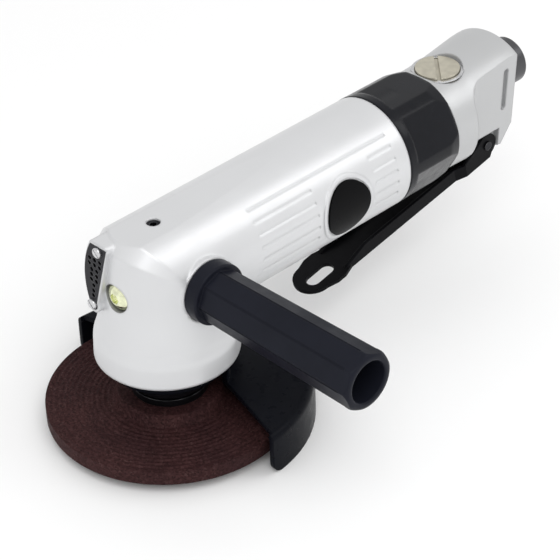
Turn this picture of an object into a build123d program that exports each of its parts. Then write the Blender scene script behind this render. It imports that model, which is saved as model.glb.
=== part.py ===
from build123d import *
from math import acos, atan2, cos, hypot, pi, radians, sin, tan
import os

# Air angle grinder for a 100 mm depressed-centre wheel. Sizes are in millimetres, +Z is up.
# The origin is on the spindle axis, in the lower face of the wheel nut.
# +X runs back along the motor to the air inlet, and the side handle points along -Y.

# Clearances
running_fit = 0.05
seat_play = 0.02
flat_gap = 0.3
turn_gap = 0.3

# Hexagon heads
hex_chamfer = 30.0

# Grinding wheel, flange and nut
wheel_radius = 50.0
wheel_thickness = 6.0
wheel_bore_radius = 8.0
wheel_hub_rise = 4.6
wheel_hub_radius = 21.0
wheel_hub_slope = 2.0
wheel_hub_wall = 4.0
wheel_groove_count = 11
wheel_groove_depth = 0.3
wheel_rim_band = 1.6
flange_radius = 15.5
flange_thickness = 3.0
nut_thickness = 3.6
pilot_gap = 1.2
pilot_play = 0.1
spanner_circle_radius = 11.0
spanner_hole_radius = 2.0
spanner_hole_depth = 2.6

# Spindle
spindle_thread_radius = 5.0
spindle_collar_radius = 8.0
spindle_journal_radius = 6.0
spindle_tail_radius = 4.0
spindle_tip_recess = 0.8
key_width = 3.0
key_height = 2.8
key_length = 8.0

# Bevel gears
gear_module = 1.5
gear_teeth = 24
pinion_teeth = 12
pressure_angle = 25.0
gear_addendum = 1.2
gear_dedendum = 1.6
gear_face = 6.0
gear_backlash = 0.3
gear_hub_radius = 9.0
gear_web_depth = 14.5
gear_seat_depth = 13.0
flank_steps = 4
tooth_root_sink = 0.4
pinion_hub_radius = 6.4
pinion_hub_length = 3.0
gear_nut_flats = 15.0
gear_nut_height = 4.0
pinion_nut_flats = 8.0
pinion_nut_height = 4.0

# Bearings
lower_bearing_radius = 16.0
lower_bearing_width = 10.0
lower_ball_radius = 2.9
lower_ball_count = 8
upper_bearing_radius = 9.5
upper_bearing_width = 6.0
upper_ball_radius = 1.5
upper_ball_count = 9
rotor_bearing_radius = 11.0
rotor_bearing_width = 7.0
rotor_ball_radius = 1.98
rotor_ball_count = 7
ball_play = 0.3
race_depth = 0.5

# Bearing cap under the head
cap_neck_radius = 21.0
cap_neck_length = 14.3
cap_nose_radius = 15.0
cap_nose_length = 7.0
cap_gap = 0.6
cap_radius = 22.0
cap_shelf = 2.5
cap_bore_play = 1.0
seal_radius = 13.0
seal_height = 4.0
cap_ring_width = 2.6
cap_ring_thickness = 1.2
cap_rim = 0.3

# Guard
guard_radius = 57.5
guard_sheet = 2.0
guard_bend_radius = 3.0
guard_depth = 19.0
guard_half_angle = 89.0
guard_corner_radius = 5.0
guard_plate_point = 17.6
guard_plate_corner = 2.2
guard_plate_lift = 0.4
guard_collar_wall = 2.8
guard_band_height = 5.0
guard_ear_height = 8.5
guard_slit = 2.4
guard_ear_length = 9.0
guard_ear_thickness = 3.0
clamp_screw_radius = 2.0
clamp_head_radius = 3.5
clamp_head_height = 3.0
clamp_socket_flats = 3.0
clamp_nut_flats = 7.0
clamp_nut_height = 3.2

# Gear head
head_drop = 37.5
head_rise = 22.5
head_foot_radius = 29.0
head_foot_draft = 0.5
head_foot_height = 10.0
head_foot_round = 10.0
head_edge_round = 1.0
head_neck_radius = 26.8
head_neck_rise = 4.5
head_neck_round = 8.0
head_neck_taper = 15.5
head_taper_round = 60.0
head_top_round = 6.0
head_bend_width = 24.6
head_bend_reach = 30.0
head_flat_run = 62.0
head_roof = 5.0
gear_room = 1.0
boss_radius = 13.0
boss_reach = 23.0
boss_spot_depth = 3.0
boss_thread_depth = 11.6
plug_x = -2.5
plug_radius = 2.8
plug_length = 3.6
plug_socket_flats = 2.6
plug_socket_depth = 2.0
plug_sink = 0.9
front_bolt_head_radius = 5.55
front_bolt_head = 3.2
front_bolt_head_edge = 1.0
front_bolt_socket_flats = 4.0
front_bolt_socket_depth = 2.0
front_bolt_proud = 0.7
front_bolt_drop = 1.5
front_bolt_shift = -0.4
front_bolt_radius = 3.0
front_bolt_length = 9.0
front_bolt_ring = 0.42

# Exhaust duct and grille, on the plane across the motor axis
duct_reach = 26.0
duct_length = 18.0
duct_wall = 1.0
duct_pocket_depth = 5.0
duct_rim = 1.6
duct_corner_round = 2.0
grille_top = 20.6
grille_top_right = 0.2
grille_top_left = 9.4
grille_bulge_left = 13.4
grille_bulge_height = 11.0
grille_foot_left = 12.9
grille_foot_right = 8.8
grille_foot_height = -7.6
grille_foot_bottom = -11.0
grille_thickness = 1.2
grille_hole_radius = 0.95
grille_hole_pitch = 2.9
grille_row_pitch = 2.5
grille_rows = 8
grille_row_start = -4.2
grille_edge = 1.0
grille_screw_spots = ((5.2, 18.0), (11.0, -8.3))
grille_screw_radius = 1.4
grille_screw_head_radius = 2.2
grille_screw_head_height = 1.3
grille_screw_length = 6.0
grille_screw_slot = 0.7
grille_screw_slot_angle = 45.0
muffler_thickness = 3.2
passage_low = -3.0
passage_high = 8.0
passage_width = 5.0
passage_wall = 2.5

# Motor
barrel_radius = 24.2
barrel_wall = 4.2
front_bearing_x = 23.0
bearing_lip = 1.0
bearing_lip_width = 0.4
front_plate_thickness = 5.0
rear_plate_thickness = 12.0
cylinder_length = 50.0
cylinder_bore_radius = 16.6
cylinder_offset = 1.6
cylinder_pin_radius = 1.5
cylinder_pin_length = 8.0
cylinder_pin_circle = 17.6
exhaust_hole_radius = 1.5
exhaust_hole_count = 6
exhaust_hole_pitch = 6.0
inlet_port_radius = 1.4
inlet_port_circle = 15.9
inlet_port_angles = (-115, -90, -65)
rotor_radius = 14.5
rotor_end_gap = 0.4
rotor_journal_radius = 4.0
rotor_nose_radius = 3.4
rotor_thread_radius = 2.5
shaft_room = 1.0
vane_count = 4
vane_thickness = 2.0
vane_height = 7.6
vane_play = 0.05
gasket_thickness = 1.0

# Coupling nut
spigot_radius = 19.9
spigot_cover = 16.0
spigot_wall = 2.5
barrel_thread_radius = 21.6
barrel_thread_length = 13.0
coupling_gap = 0.2
coupling_radius = 24.3
coupling_length = 30.4
coupling_rim_length = 4.4
coupling_flats = 44.4
coupling_crown_radius = 23.2
coupling_crown_length = 6.0
coupling_crown_round = 8.0
coupling_edge_round = 0.6
coupling_lip_play = 0.2
coupling_ring_thickness = 2.5
coupling_ring_depth = 1.4
coupling_ring_play = 0.3

# Rear handle
rear_gap = 0.4
rear_front_radius = 22.3
rear_neck_radius = 22.8
rear_neck = 15.0
rear_radius = 25.7
rear_taper = 38.0
rear_flare_round = 60.0
rear_length = 44.5
rear_edge_round = 1.5
rear_front_wall = 3.0
panel_start = 12.0
panel_half_width = 12.7
panel_draft = 3.8
panel_low = -14.0
panel_corner = 9.0
dimple_x = 38.0
dimple_low = -5.0
dimple_high = 15.5
dimple_width = 3.0
dimple_depth = 2.2
rear_bevel_length = 6.0
rear_bevel_low = -22.5
rear_bevel_high = -14.0

# Throttle valve, standing in the rear handle
valve_setback = 11.0
valve_seat_drop = 3.0
valve_chamber_radius = 7.0
valve_port_radius = 4.2
valve_stem_radius = 2.5
valve_head_radius = 5.2
valve_head_height = 2.0
valve_washer_height = 1.0
valve_nub_height = 2.0
valve_floor_drop = 18.0
feed_radius = 3.0
feed_drop = 14.2
bush_radius = 5.0
bush_length = 7.5
spring_wire_radius = 0.5
spring_radius = 3.9
spring_turns = 6

# Air regulator
regulator_sink = 0.4
regulator_boss_radius = 9.4
regulator_flange_step = 0.9
regulator_flange_height = 1.9
regulator_boss_height = 1.9
regulator_bore_radius = 5.5
regulator_skirt = 4.4
regulator_port_radius = 3.5
regulator_slot_width = 1.6
regulator_slot_depth = 1.4
regulator_slot_angle = 47.0
regulator_seal_depth = 1.0
regulator_seal_height = 1.6
regulator_seal_drop = 2.0
regulator_ring_height = 0.7
regulator_ring_groove = 0.4

# Air inlet
inlet_rise = 7.0
inlet_thread_radius = 8.0
inlet_thread_depth = 16.3
inlet_ring_radius = 10.3
inlet_ring_length = 12.4
inlet_bore_radius = 5.7
inlet_bore_depth = 14.8
inlet_throat_radius = 4.5
inlet_throat_length = 2.0
inlet_chamfer = 0.8
inlet_passage_radius = 5.0
strainer_radius = 6.2
strainer_wall = 0.6
strainer_play = 0.1
strainer_hole_radius = 0.8
strainer_hole_count = 8
strainer_rows = 3
strainer_row_pitch = 2.6
inlet_seal_inner = 8.5
inlet_seal_outer = 9.8
inlet_seal_thickness = 1.2

# Lever
lever_setback = 30.5
lever_pivot_inset = 5.5
lever_angle = 11.7
lever_reach = 98.2
lever_drop = 7.1
lever_sheet = 1.6
lever_tip_radius = 8.6
lever_bump_half_width = 10.2
lever_bump_start = 5.0
lever_bump_end = 9.5
lever_neck_half_width = 8.5
lever_neck_end = 15.0
lever_mid_half_width = 9.4
lever_mid_end = 79.0
lever_ear_start = 84.0
lever_flange_height = 6.0
lever_flange_start = 12.0
lever_flange_ramp = 12.0
lever_slot_width = 6.4
lever_slot_start = -4.2
lever_slot_end = 9.8
lever_slot_shift = -1.4
lever_ear_radius = 5.5
lever_ear_rise = 6.5
lug_half_width = 9.6
lever_pin_radius = 2.0
lever_pin_overhang = 0.8
ear_room_start = 12.0
ear_room_play = 0.8
ear_room_top = -13.5
plunger_gap = 0.3

# Side handle
handle_x = 3.0
grip_length = 84.0
grip_ring_radius = 12.6
grip_ring_length = 6.4
grip_root_radius = 11.0
grip_end_radius = 12.0
grip_end_round = 2.2
grip_edge_round = 0.7
grip_bore_radius = 8.4
grip_bore_depth = 50.0
grip_sides = 8
grip_groove_width = 0.6
grip_groove_depth = 0.3
grip_groove_end = 4.0
handle_bolt_radius = 4.0
handle_bolt_flats = 13.0
handle_bolt_head = 5.3
handle_bolt_play = 0.2

# Raised lines and round disc on the barrel's sides
line_depth = 0.45
line_width = 1.6
line_top_angle = 49.0
line_pitch = 12.6
line_count = 6
line_start = 31.0
line_end = 107.0
line_gap_start = 62.0
line_gap_end = 94.0
disc_x = 78.0
disc_rise = 0.3
disc_radius = 11.7
disc_thickness = 0.9
disc_ring_gap = 0.6
disc_ring_width = 1.8
disc_ring_height = 0.5

# Levels and places that follow from the sizes above
wheel_seat_z = nut_thickness
wheel_face_z = wheel_seat_z - wheel_hub_rise
flange_z = wheel_seat_z + wheel_thickness
spindle_shoulder_z = flange_z + flange_thickness
pilot_height = (wheel_thickness - pilot_gap) / 2
cap_bottom_z = spindle_shoulder_z + cap_gap
head_bottom_z = cap_bottom_z + cap_neck_length
lower_bearing_z = head_bottom_z + cap_shelf
lower_bearing_top_z = lower_bearing_z + lower_bearing_width
cap_top_z = lower_bearing_top_z + cap_ring_thickness + cap_rim
motor_axis_z = head_bottom_z + head_drop
head_top_z = motor_axis_z + head_rise
upper_bearing_z = head_top_z - head_roof - upper_bearing_width

gear_pitch_radius = gear_module * gear_teeth / 2
pinion_pitch_radius = gear_module * pinion_teeth / 2
cone_distance = hypot(gear_pitch_radius, pinion_pitch_radius)
gear_seat_z = motor_axis_z - gear_seat_depth

barrel_bore_radius = barrel_radius - barrel_wall
front_plate_x = front_bearing_x + rotor_bearing_width
cylinder_x = front_plate_x + front_plate_thickness
rear_plate_x = cylinder_x + cylinder_length
gasket_x = rear_plate_x + rear_plate_thickness
rear_bearing_x = gasket_x - rotor_bearing_width
spigot_x = gasket_x + gasket_thickness
barrel_end_x = spigot_x + spigot_cover
barrel_thread_end_x = barrel_end_x + barrel_thread_length
coupling_x = barrel_end_x + coupling_gap
coupling_end_x = coupling_x + coupling_length
coupling_ring_x = barrel_thread_end_x + coupling_gap
coupling_lip_x = coupling_ring_x + coupling_ring_thickness
rear_x = coupling_end_x + rear_gap
rear_end_x = rear_x + rear_length

valve_x = rear_x + valve_setback
valve_seat_z = motor_axis_z - valve_seat_drop
valve_floor_z = motor_axis_z - valve_floor_drop
valve_washer_z = valve_seat_z + flat_gap
valve_head_z = valve_washer_z + valve_washer_height
valve_top_z = valve_head_z + valve_head_height
feed_z = motor_axis_z - feed_drop
rear_skin = rear_front_radius + (rear_neck_radius - rear_front_radius) * valve_setback / rear_neck
regulator_top_z = motor_axis_z + rear_skin - regulator_sink
regulator_flange_top_z = regulator_top_z - regulator_boss_height
regulator_flange_z = regulator_flange_top_z - regulator_flange_height
regulator_seat_z = regulator_flange_z - flat_gap
regulator_flange_radius = regulator_boss_radius + regulator_flange_step
regulator_seat_radius = regulator_flange_radius + turn_gap
inlet_axis_z = motor_axis_z + inlet_rise
inlet_mouth_x = rear_end_x + inlet_ring_length
inlet_seat_x = rear_end_x - inlet_thread_depth

pivot_x = rear_x + lever_setback
pivot_z = motor_axis_z - rear_radius + lever_pivot_inset
slope = radians(lever_angle)
lever_x = pivot_x - lever_reach * cos(slope) + lever_drop * sin(slope)
lever_z = pivot_z - lever_reach * sin(slope) - lever_drop * cos(slope)
lever_ear_half_width = lug_half_width + turn_gap + lever_sheet
ear_room_end_x = pivot_x + lever_ear_radius + ear_room_play
plunger_edge_x = valve_x + valve_stem_radius
plunger_bottom_z = (
    lever_z + (plunger_edge_x - lever_x) * tan(slope) + lever_sheet / cos(slope) + plunger_gap
)

guard_plate_top_z = cap_bottom_z + guard_plate_lift
guard_plate_z = guard_plate_top_z - guard_sheet
guard_bottom_z = guard_plate_top_z - guard_depth
guard_collar_radius = cap_neck_radius + running_fit

os.makedirs("parts", exist_ok=True)


# Planes and small helpers


def upright(z):
    """Level plane on the spindle axis."""
    return Plane.XY.offset(z)


def across(x, z=motor_axis_z, y=0.0):
    """Plane across the motor, with its X along +Y and its Y up."""
    return Plane(origin=(x, y, z), x_dir=(0, 1, 0), z_dir=(1, 0, 0))


def sideways(y):
    """Plane across the side handle, facing out along -Y, with its Y up."""
    return Plane(origin=(handle_x, y, motor_axis_z), x_dir=(1, 0, 0), z_dir=(0, -1, 0))


def over_valve(z):
    """Level plane on the throttle valve's axis."""
    return Plane(origin=(valve_x, 0, z), x_dir=(1, 0, 0), z_dir=(0, 0, 1))


def beside(plane):
    """Plane through another plane's axis, with its Y along that axis."""
    return Plane(origin=plane.origin, x_dir=plane.x_dir, z_dir=-plane.y_dir)


def lengthwise(y=0.0):
    """Upright plane along the motor, with its X along +X and its Y up."""
    return Plane(origin=(0, y, 0), x_dir=(1, 0, 0), z_dir=(0, -1, 0))


def keep(part, label):
    """Name a finished piece and write it to its own file."""
    part.label = label
    export_step(part, f"parts/{label}.step")


def turned(plane, outline, radii=None):
    """Solid turned about a plane's axis from (radius, height) corners, some of them rounded."""
    with BuildPart() as blank:
        with BuildSketch(beside(plane)):
            with BuildLine():
                if radii:
                    FilletPolyline(*outline, radius=radii, close=True)
                else:
                    Polyline(*outline, close=True)
            make_face()
        revolve(axis=Axis(plane.origin, plane.z_dir))
    return blank.part


def ring(plane, inner, outer, height):
    """Plain ring standing on a plane."""
    with BuildPart() as band:
        with BuildSketch(plane):
            Circle(outer)
            Circle(inner, mode=Mode.SUBTRACT)
        extrude(amount=height)
    return band.part


def hex_nut(plane, bore, flats, height):
    """Hexagon nut standing on a plane."""
    with BuildPart() as nut:
        with BuildSketch(plane):
            RegularPolygon(flats / 2, 6, major_radius=False)
            Circle(bore, mode=Mode.SUBTRACT)
        extrude(amount=height)
    return nut.part


def hex_bolt(plane, radius, length, flats, head):
    """Hexagon bolt whose shank runs along a plane's axis, with its head behind the plane."""
    corner = flats / 2 / cos(radians(30))
    bevel = (corner - flats / 2) * tan(radians(hex_chamfer))
    crown = turned(
        plane, [(0, 0), (corner, 0), (corner, bevel - head), (flats / 2, -head), (0, -head)]
    )
    with BuildPart() as bolt:
        with BuildSketch(plane):
            RegularPolygon(flats / 2, 6, major_radius=False)
        extrude(amount=-head)
        add(crown, mode=Mode.INTERSECT)
        with BuildSketch(plane):
            Circle(radius)
        extrude(amount=length)
    return bolt.part


def ball_bearing(name, plane, outer, bore, width, ball, count):
    """Outer ring, inner ring and balls of one bearing that stands on a plane."""
    pitch = (outer + bore) / 2
    land = race_depth * ball
    for piece, low, high in (("outer_ring", pitch + land, outer), ("inner_ring", bore, pitch - land)):
        with BuildPart() as race:
            with BuildSketch(beside(plane)):
                with Locations(((low + high) / 2, width / 2)):
                    Rectangle(high - low, width)
                with Locations((pitch, width / 2)):
                    Circle(ball + ball_play, mode=Mode.SUBTRACT)
            revolve(axis=Axis(plane.origin, plane.z_dir))
        keep(race.part, f"{name}_{piece}")
    with BuildPart(plane.offset(width / 2)) as balls:
        with PolarLocations(pitch, count):
            Sphere(ball)
    keep(balls.part, f"{name}_balls")


def cone_point(own, mate, height, share):
    """Radius and depth of a point on a bevel gear, a height off its pitch cone."""
    lean = atan2(own, mate)
    return share * (own + height * cos(lean)), share * (mate - height * sin(lean))


def tooth_outline(virtual_radius):
    """Corners of one tooth across its length, with flanks by the involute rule."""
    base = virtual_radius * cos(radians(pressure_angle))
    half_angle = (pi * gear_module / 2 - gear_backlash) / (2 * virtual_radius)

    def roll(radius):
        angle = acos(min(1.0, base / radius))
        return tan(angle) - angle

    flank = []
    low = -gear_dedendum - tooth_root_sink
    for step in range(flank_steps + 1):
        radius = virtual_radius + low + (gear_addendum - low) * step / flank_steps
        angle = half_angle + roll(virtual_radius) - roll(radius)
        flank.append((radius * sin(angle), radius * cos(angle) - virtual_radius))
    return flank + [(-x, y) for x, y in reversed(flank)]


def bevel_gear(plane, own, mate, teeth, first_tooth, blank):
    """Bevel gear with its cone apex at a plane's origin and its large end along the plane's axis."""
    lean = atan2(own, mate)
    outline = tooth_outline(own / cos(lean))
    with BuildPart() as tooth:
        for share in (1 - gear_face / cone_distance, 1):
            spot = (own * share, 0, mate * share)
            with BuildSketch(Plane(origin=spot, x_dir=(0, -1, 0), z_dir=(sin(lean), 0, cos(lean)))):
                with BuildLine():
                    Polyline(*[(x * share, y * share) for x, y in outline], close=True)
                make_face()
        loft(ruled=True)
    body = turned(Plane.XY, blank)
    with BuildPart(plane) as gear:
        add(body)
        with PolarLocations(0, teeth, start_angle=first_tooth):
            add(tooth.part)
    return gear.part


def grille_outline(wall=0.0):
    """Edge of the exhaust grille, with a wall above, under and inside it if one is asked for."""
    top_right = (grille_top_right - wall, grille_top + wall)
    top_left = (grille_top_left, grille_top + wall)
    foot_left = (grille_foot_left, grille_foot_height)
    foot_right = (grille_foot_right - wall, grille_foot_height)
    foot_middle = ((grille_foot_left + grille_foot_right - wall) / 2, grille_foot_bottom - wall)
    with BuildLine() as edge:
        Line(top_right, top_left)
        ThreePointArc(top_left, (grille_bulge_left, grille_bulge_height), foot_left)
        ThreePointArc(foot_left, foot_middle, foot_right)
        Line(foot_right, top_right)
    return edge.line


# Wheel, nut and flange
groove_start = wheel_hub_radius + wheel_hub_slope + wheel_rim_band
groove_pitch = (wheel_radius - wheel_rim_band - groove_start) / wheel_groove_count
wheel_top_z = wheel_face_z + wheel_thickness
wheel_ridges = []
for index in range(wheel_groove_count):
    start = groove_start + index * groove_pitch
    wheel_ridges.append((start, wheel_top_z))
    wheel_ridges.append((start + groove_pitch / 2, wheel_top_z - wheel_groove_depth))
wheel_ridges.append((wheel_radius - wheel_rim_band, wheel_top_z))
wheel = turned(
    Plane.XY,
    [
        (wheel_bore_radius, wheel_seat_z),
        (wheel_hub_radius - wheel_hub_wall, wheel_seat_z),
        (wheel_hub_radius - wheel_hub_wall + wheel_hub_slope, wheel_face_z),
        (wheel_radius, wheel_face_z),
        (wheel_radius, wheel_top_z),
        *reversed(wheel_ridges),
        (wheel_hub_radius + wheel_hub_slope, wheel_top_z),
        (wheel_hub_radius, flange_z),
        (wheel_bore_radius, flange_z),
    ],
)
keep(wheel, "grinding_wheel")

pilot_radius = wheel_bore_radius - pilot_play
with BuildPart() as wheel_nut:
    with BuildSketch(Plane.XY):
        Circle(flange_radius)
    extrude(amount=nut_thickness)
    with BuildSketch(upright(nut_thickness)):
        Circle(pilot_radius)
    extrude(amount=pilot_height)
    with BuildSketch(Plane.XY):
        Circle(spindle_thread_radius)
    extrude(amount=nut_thickness + pilot_height, mode=Mode.SUBTRACT)
    with BuildSketch(Plane.XY):
        with PolarLocations(spanner_circle_radius, 2):
            Circle(spanner_hole_radius)
    extrude(amount=spanner_hole_depth, mode=Mode.SUBTRACT)
keep(wheel_nut.part, "wheel_nut")

inner_flange = turned(
    Plane.XY,
    [
        (spindle_thread_radius, flange_z - pilot_height),
        (pilot_radius, flange_z - pilot_height),
        (pilot_radius, flange_z),
        (flange_radius, flange_z),
        (flange_radius, spindle_shoulder_z),
        (spindle_thread_radius, spindle_shoulder_z),
    ],
)
keep(inner_flange, "wheel_flange")

# Spindle with its key
spindle_tail_z = gear_seat_z + gear_nut_height + flat_gap
spindle_top_z = upper_bearing_z + upper_bearing_width
key_z = (lower_bearing_top_z + gear_seat_z - key_length) / 2
key_start = spindle_journal_radius - key_height / 2


def key_box(mode):
    """Room for the gear's key, in the part that calls it."""
    with BuildSketch(upright(key_z)) as section:
        with Locations((key_start + key_height / 2, 0)):
            Rectangle(key_height, key_width)
    extrude(section.sketch, amount=key_length, mode=mode)


with BuildPart() as spindle:
    add(
        turned(
            Plane.XY,
            [
                (0, spindle_tip_recess),
                (spindle_thread_radius, spindle_tip_recess),
                (spindle_thread_radius, spindle_shoulder_z),
                (spindle_collar_radius, spindle_shoulder_z),
                (spindle_collar_radius, lower_bearing_z),
                (spindle_journal_radius, lower_bearing_z),
                (spindle_journal_radius, gear_seat_z - flat_gap),
                (spindle_thread_radius, gear_seat_z - flat_gap),
                (spindle_thread_radius, spindle_tail_z),
                (spindle_tail_radius, spindle_tail_z),
                (spindle_tail_radius, spindle_top_z),
                (0, spindle_top_z),
            ],
        )
    )
    key_box(Mode.SUBTRACT)
keep(spindle.part, "spindle")

with BuildPart() as gear_key:
    key_box(Mode.ADD)
keep(gear_key.part, "gear_key")

# Bevel gear and pinion, meeting with their cone apex where the two axes cross
small_end = 1 - gear_face / cone_distance
gear_hub_depth = motor_axis_z - lower_bearing_top_z
gear_small = cone_point(gear_pitch_radius, pinion_pitch_radius, -gear_dedendum, small_end)
gear_large = cone_point(gear_pitch_radius, pinion_pitch_radius, -gear_dedendum, 1)
gear_plane = Plane(origin=(0, 0, motor_axis_z), x_dir=(1, 0, 0), z_dir=(0, 0, -1))
gear_blank = bevel_gear(
    gear_plane,
    gear_pitch_radius,
    pinion_pitch_radius,
    gear_teeth,
    0,
    [
        gear_small,
        gear_large,
        (gear_large[0], gear_web_depth),
        (gear_hub_radius, gear_web_depth),
        (gear_hub_radius, gear_hub_depth),
        (spindle_journal_radius, gear_hub_depth),
        (spindle_journal_radius, gear_seat_depth),
        (gear_hub_radius, gear_seat_depth),
    ],
)
with BuildPart() as gear:
    add(gear_blank)
    key_box(Mode.SUBTRACT)
keep(gear.part, "bevel_gear")
gear_nut = hex_nut(upright(gear_seat_z), spindle_thread_radius, gear_nut_flats, gear_nut_height)
keep(gear_nut, "gear_nut")

pinion_small = cone_point(pinion_pitch_radius, gear_pitch_radius, -gear_dedendum, small_end)
pinion_large = cone_point(pinion_pitch_radius, gear_pitch_radius, -gear_dedendum, 1)
pinion = bevel_gear(
    across(0),
    pinion_pitch_radius,
    gear_pitch_radius,
    pinion_teeth,
    180 / pinion_teeth - 90,
    [
        (rotor_nose_radius, pinion_small[1]),
        pinion_small,
        pinion_large,
        (pinion_hub_radius, front_bearing_x - pinion_hub_length),
        (pinion_hub_radius, front_bearing_x),
        (rotor_nose_radius, front_bearing_x),
    ],
)
keep(pinion, "bevel_pinion")
pinion_nut_x = pinion_small[1] - pinion_nut_height
pinion_nut = hex_nut(across(pinion_nut_x), rotor_thread_radius, pinion_nut_flats, pinion_nut_height)
keep(pinion_nut, "pinion_nut")

# Bearings
ball_bearing(
    "lower_bearing", upright(lower_bearing_z), lower_bearing_radius, spindle_journal_radius,
    lower_bearing_width, lower_ball_radius, lower_ball_count,
)
ball_bearing(
    "upper_bearing", upright(upper_bearing_z), upper_bearing_radius, spindle_tail_radius,
    upper_bearing_width, upper_ball_radius, upper_ball_count,
)
ball_bearing(
    "front_rotor_bearing", across(front_bearing_x), rotor_bearing_radius, rotor_journal_radius,
    rotor_bearing_width, rotor_ball_radius, rotor_ball_count,
)
ball_bearing(
    "rear_rotor_bearing", across(rear_bearing_x), rotor_bearing_radius, rotor_journal_radius,
    rotor_bearing_width, rotor_ball_radius, rotor_ball_count,
)

# Bearing cap with its seal and retaining ring
cap_bore_radius = spindle_collar_radius + cap_bore_play
bearing_seat_radius = lower_bearing_radius + seat_play
bearing_cap = turned(
    Plane.XY,
    [
        (cap_bore_radius, cap_bottom_z),
        (cap_nose_radius, cap_bottom_z),
        (cap_nose_radius, cap_bottom_z + cap_nose_length),
        (cap_neck_radius, cap_bottom_z + cap_nose_length),
        (cap_neck_radius, head_bottom_z),
        (cap_radius - seat_play, head_bottom_z),
        (cap_radius - seat_play, cap_top_z),
        (bearing_seat_radius, cap_top_z),
        (bearing_seat_radius, lower_bearing_z),
        (seal_radius, lower_bearing_z),
        (seal_radius, lower_bearing_z - seal_height),
        (cap_bore_radius, lower_bearing_z - seal_height),
    ],
)
keep(bearing_cap, "bearing_cap")
keep(
    ring(
        upright(lower_bearing_z - seal_height), spindle_collar_radius + turn_gap,
        seal_radius - seat_play, seal_height,
    ),
    "spindle_seal",
)
keep(
    ring(
        upright(lower_bearing_top_z), lower_bearing_radius - cap_ring_width,
        lower_bearing_radius, cap_ring_thickness,
    ),
    "bearing_ring",
)

# Wheel guard with its clamp
guard_inner_radius = guard_radius - guard_sheet
guard_ear_start = guard_collar_radius + guard_collar_wall / 2
guard_ear_end = guard_collar_radius + guard_collar_wall + guard_ear_length
clamp_x = guard_collar_radius + guard_collar_wall + guard_ear_length / 2
guard_collar_top_z = head_bottom_z - turn_gap
guard_band_z = guard_collar_top_z - guard_band_height
guard_ear_z = guard_collar_top_z - guard_ear_height
clamp_z = guard_ear_z + guard_ear_height / 2
clamp_face = guard_slit / 2 + guard_ear_thickness
clamp_plane = Plane(origin=(clamp_x, clamp_face, clamp_z), x_dir=(1, 0, 0), z_dir=(0, -1, 0))

with BuildPart() as guard:
    with BuildSketch(lengthwise().rotated((0, 0, -guard_half_angle))):
        with BuildLine():
            FilletPolyline(
                (guard_collar_radius, guard_plate_z),
                (guard_inner_radius, guard_plate_z),
                (guard_inner_radius, guard_bottom_z),
                (guard_radius, guard_bottom_z),
                (guard_radius, guard_plate_top_z),
                (guard_collar_radius, guard_plate_top_z),
                radius=[0, guard_bend_radius - guard_sheet, 0, 0, guard_bend_radius, 0],
                close=True,
            )
        make_face()
    revolve(axis=Axis.Z, revolution_arc=2 * guard_half_angle)
    skirt_corners = guard.edges().filter_by(GeomType.LINE).group_by(Axis.Z)[0]
    fillet(skirt_corners, guard_corner_radius)
    with BuildSketch(upright(guard_plate_z)):
        Circle(guard_collar_radius + guard_collar_wall)
    extrude(amount=guard_collar_top_z - guard_plate_z)
    # Straight front edges; the collar goes on round the neck only as a narrow band
    with BuildSketch(upright(guard_plate_z)):
        with BuildLine():
            Polyline(
                (guard_plate_corner, -guard_inner_radius),
                (guard_plate_point, 0),
                (guard_plate_corner, guard_inner_radius),
                (-guard_radius, guard_inner_radius),
                (-guard_radius, -guard_inner_radius),
                close=True,
            )
        make_face()
    extrude(amount=guard_band_z - guard_plate_z, mode=Mode.SUBTRACT)
    with BuildSketch(upright(guard_ear_z)):
        with Locations(((guard_ear_start + guard_ear_end) / 2, 0)):
            Rectangle(guard_ear_end - guard_ear_start, 2 * clamp_face)
    extrude(amount=guard_ear_height)
    with BuildSketch(upright(guard_plate_z)):
        Circle(guard_collar_radius)
    extrude(amount=guard_collar_top_z - guard_plate_z, mode=Mode.SUBTRACT)
    with BuildSketch(upright(guard_plate_top_z)):
        with Locations((guard_ear_end / 2, 0)):
            Rectangle(guard_ear_end, guard_slit)
    extrude(amount=guard_collar_top_z - guard_plate_top_z, mode=Mode.SUBTRACT)
    with BuildSketch(clamp_plane):
        Circle(clamp_screw_radius + seat_play)
    extrude(amount=2 * clamp_face, mode=Mode.SUBTRACT)
keep(guard.part, "wheel_guard")

with BuildPart() as clamp_screw:
    with BuildSketch(clamp_plane):
        Circle(clamp_head_radius)
    extrude(amount=-clamp_head_height)
    with BuildSketch(clamp_plane.offset(-clamp_head_height)):
        RegularPolygon(clamp_socket_flats / 2, 6, major_radius=False)
    extrude(amount=clamp_head_height / 2, mode=Mode.SUBTRACT)
    with BuildSketch(clamp_plane):
        Circle(clamp_screw_radius)
    extrude(amount=2 * clamp_face + clamp_nut_height)
keep(clamp_screw.part, "guard_clamp_screw")
clamp_nut = hex_nut(
    clamp_plane.offset(2 * clamp_face), clamp_screw_radius, clamp_nut_flats, clamp_nut_height
)
keep(clamp_nut, "guard_clamp_nut")

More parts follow.
